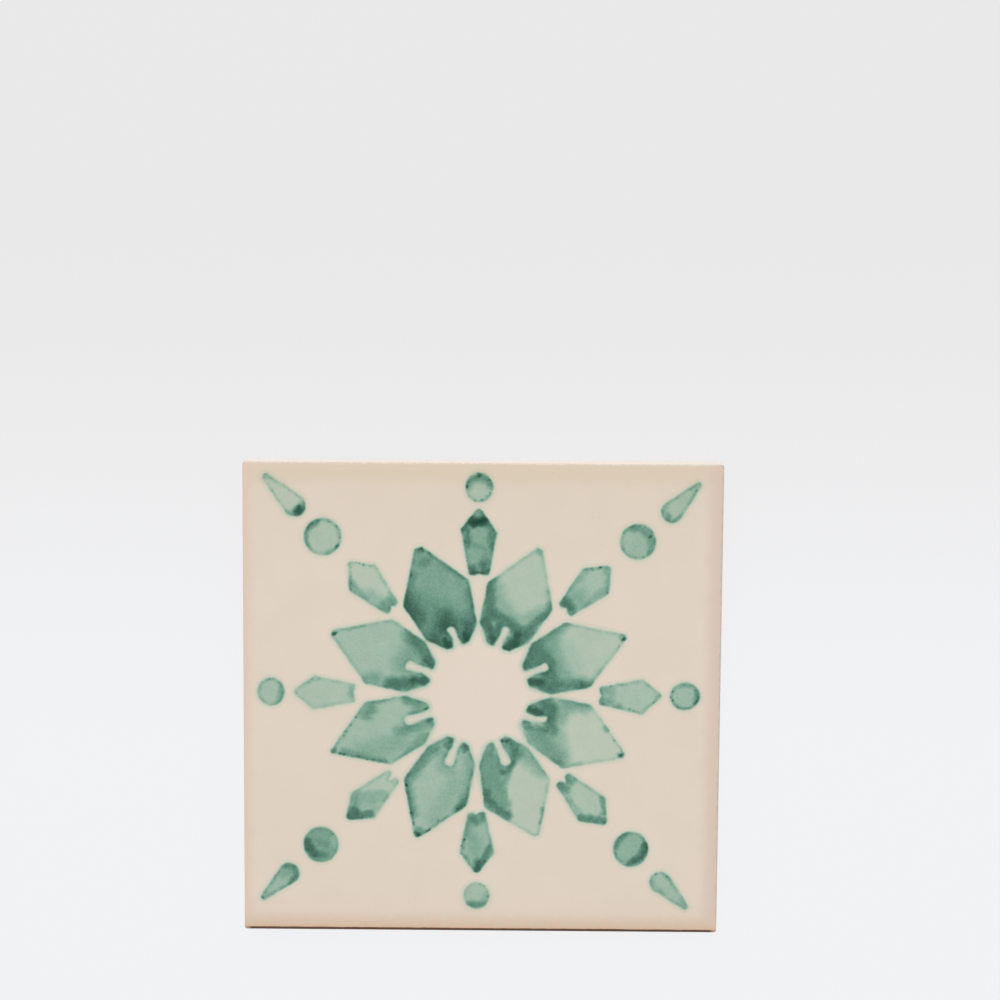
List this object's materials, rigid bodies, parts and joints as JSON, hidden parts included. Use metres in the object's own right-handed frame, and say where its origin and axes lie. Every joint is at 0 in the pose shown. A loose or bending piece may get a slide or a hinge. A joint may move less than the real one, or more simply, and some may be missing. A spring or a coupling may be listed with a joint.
{
  "type": "azulejo wall tile",
  "caption": "Square glazed earthenware wall tile with a cushion edge, a stencilled rosette on its face and keyed cells pressed into its back.",
  "frame": {"origin": "middle of the back, on the plane that the rim and the ribs share", "axes": "+Z out of the glazed face, +Y towards the edge that is uppermost in the picture, +X to the right as seen from the front"},
  "size_m": [0.14, 0.14, 0.008],
  "materials": {
    "glazed_earthenware": "satin cream glaze with a green in-glaze pattern over pink biscuit"
  },
  "bodies": {
    "root": {"azulejo_tile": "glazed_earthenware"}
  },
  "joints": []
}
